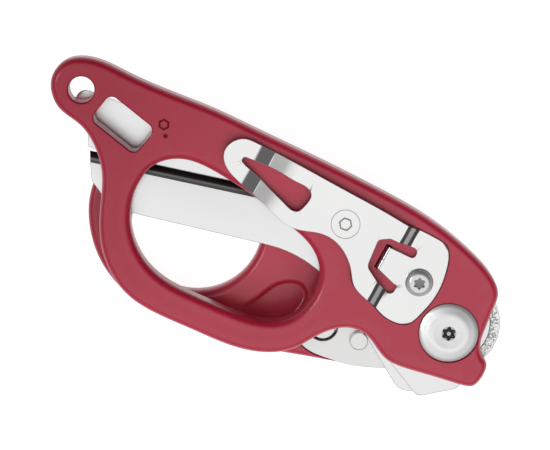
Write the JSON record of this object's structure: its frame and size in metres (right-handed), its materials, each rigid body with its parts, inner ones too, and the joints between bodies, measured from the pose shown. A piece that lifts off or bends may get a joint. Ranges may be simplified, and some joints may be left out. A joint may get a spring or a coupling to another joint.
{
  "type": "folding trauma shears",
  "caption": "Folding medical shears with two coated loop handles, blades folded between them, spring locks, pocket clip and lanyard hole.",
  "frame": {"origin": "centre of the folded tool's box, on the plane of the rear handle's back face", "axes": "+Z from the rear handle to the clip side, +X along the tool towards the pivot head, +Y towards the spine"},
  "size_m": [0.1264, 0.058, 0.0196],
  "materials": {
    "red_coating": "satin red powder coat on cast alloy",
    "clip_steel": "satin stainless sheet",
    "blade_steel": "satin stainless blade with ground bevel",
    "liner_steel": "satin stainless plate",
    "screw_steel": "polished stainless screw",
    "pin_steel": "turned stainless pin",
    "spring_steel": "drawn spring wire",
    "pivot_steel": "turned stainless head with circular lay",
    "washer_bronze": "plain bronze washer"
  },
  "bodies": {
    "front_handle": {"front_handle": "red_coating", "front_liner": "liner_steel", "front_liner_screws": "screw_steel", "front_stop_pin": "pin_steel", "front_lock_spring": "spring_steel", "pocket_clip": "clip_steel", "clip_screw": "screw_steel", "clip_nut": "screw_steel", "pivot_bolt": "pivot_steel", "pivot_nut": "pivot_steel", "front_washer": "washer_bronze"},
    "front_lock": {"front_lock_bar": "liner_steel", "front_lock_pin": "pin_steel", "front_release_button": "pin_steel"},
    "front_blade": {"front_blade": "blade_steel"},
    "rear_blade": {"rear_blade": "blade_steel"},
    "rear_handle": {"rear_handle": "red_coating", "rear_liner": "liner_steel", "rear_liner_screws": "screw_steel", "rear_stop_pin": "pin_steel", "rear_lock_spring": "spring_steel", "rear_washer": "washer_bronze"},
    "rear_lock": {"rear_lock_bar": "liner_steel", "rear_lock_pin": "pin_steel", "rear_release_button": "pin_steel"}
  },
  "joints": [
    {"name": "front_blade_fold", "type": "hinge", "parent": "front_handle", "child": "front_blade", "pos_m": [0.05005, 0.00866, 0.008], "axis": [0, 0, 1], "range_deg": [-180, 0]},
    {"name": "jaw_pivot", "type": "hinge", "parent": "front_blade", "child": "rear_blade", "pos_m": [0.05005, 0.00866, 0.008], "axis": [0, 0, 1], "range_deg": [-45, 0]},
    {"name": "rear_handle_fold", "type": "hinge", "parent": "rear_blade", "child": "rear_handle", "pos_m": [0.05005, 0.00866, 0.008], "axis": [0, 0, 1], "range_deg": [0, 132]},
    {"name": "front_lock_slide", "type": "slide", "parent": "front_handle", "child": "front_lock", "axis": [0, 0, -1], "range_m": [0, 0.0021], "deforming": ["front_lock_spring"]},
    {"name": "rear_lock_slide", "type": "slide", "parent": "rear_handle", "child": "rear_lock", "axis": [0, 0, 1], "range_m": [0, 0.0021], "deforming": ["rear_lock_spring"]}
  ]
}
